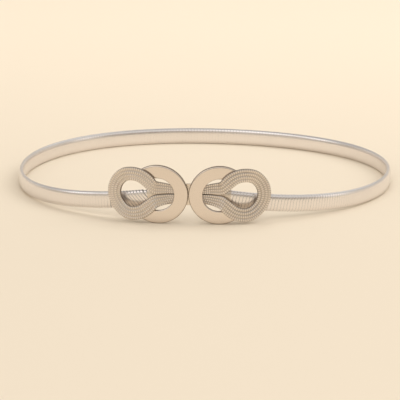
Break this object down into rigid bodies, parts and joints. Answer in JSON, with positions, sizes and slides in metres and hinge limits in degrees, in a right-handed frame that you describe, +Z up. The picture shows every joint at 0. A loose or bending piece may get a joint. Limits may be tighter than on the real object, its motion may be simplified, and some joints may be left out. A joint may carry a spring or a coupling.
{
  "type": "stretch metal waist belt",
  "caption": "Slim stretch belt of flattened metal coil, worn round the waist and closed in front by an interlaced buckle of flat polished rings and ribbed teardrop loops.",
  "frame": {"origin": "on the ground under the middle of the whole belt, which stands on its lower edge", "axes": "+Z up, the buckle faces -Y, and +X is to the right of someone who faces the buckle"},
  "size_m": [0.204, 0.209, 0.0308],
  "materials": {
    "coiled_steel": "fine cross-ribbed coil, soft sheen",
    "polished_alloy": "polished, pale champagne silver",
    "cord_alloy": "ribbed cord texture, dull sheen",
    "plain_alloy": "plain satin"
  },
  "bodies": {
    "root": {"band": "coiled_steel", "ring_left": "polished_alloy", "ring_right": "polished_alloy", "cord_loop_left": "cord_alloy", "cord_loop_right": "cord_alloy", "band_clip_left": "plain_alloy", "band_clip_right": "plain_alloy", "clasp_hook": "plain_alloy"}
  },
  "joints": []
}
